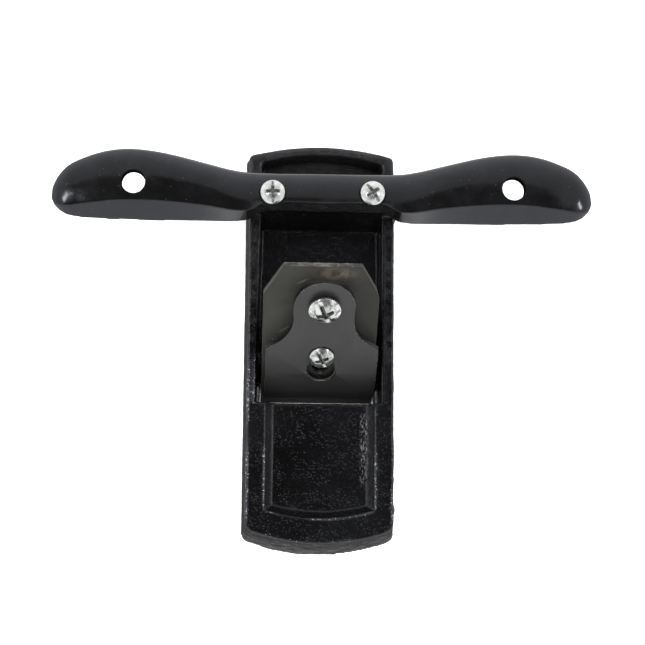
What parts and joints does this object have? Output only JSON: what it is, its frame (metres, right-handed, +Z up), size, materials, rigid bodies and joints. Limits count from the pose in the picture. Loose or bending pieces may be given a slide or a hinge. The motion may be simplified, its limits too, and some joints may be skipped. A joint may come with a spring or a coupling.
{
  "type": "edge beveler",
  "caption": "Push-type edge beveling plane: flat cast sole with an inclined cutter under a keyhole lever cap, steered by a winged cross handle screwed over the heel.",
  "frame": {"origin": "centre of the flat sole, on the surface it rests on", "axes": "+X along the wings of the cross handle, +Y from the toe towards the heel, +Z up from the sole"},
  "size_m": [0.2112, 0.1628, 0.0515],
  "materials": {
    "cast_body": "rough sand casting under black enamel, rubbed bright in specks along its edges",
    "handle_enamel": "smooth glossy black enamel on cast iron",
    "tool_steel": "ground tool steel, greyed, faint brown stain near the top edge",
    "cap_steel": "dark brushed sheet steel with bright sheared edges",
    "zinc_screw": "bright zinc plate"
  },
  "bodies": {
    "stock": {"body": "cast_body", "cross_handle": "handle_enamel", "handle_screw_left": "zinc_screw", "handle_screw_right": "zinc_screw"},
    "cutter": {"cutter": "tool_steel"},
    "lever_cap": {"lever_cap": "cap_steel"},
    "clamp_screw": {"clamp_screw": "zinc_screw"},
    "fulcrum_screw": {"fulcrum_screw": "zinc_screw"}
  },
  "joints": [
    {"name": "cutter_slide", "type": "slide", "parent": "stock", "child": "cutter", "axis": [0, 0.7071, 0.7071], "range_m": [-0.0008, 0.01]},
    {"name": "lever_cap_slide", "type": "slide", "parent": "stock", "child": "lever_cap", "axis": [0, 0.7071, 0.7071], "range_m": [0, 0.007]},
    {"name": "clamp_screw_turn", "type": "hinge", "parent": "lever_cap", "child": "clamp_screw", "pos_m": [0, 0.00929, 0.04347], "axis": [0, -0.7581, 0.6521], "range_deg": [0, 720]},
    {"name": "fulcrum_screw_turn", "type": "hinge", "parent": "stock", "child": "fulcrum_screw", "pos_m": [0, -0.00596, 0.02377], "axis": [0, -0.7071, 0.7071], "range_deg": [0, 360]}
  ]
}
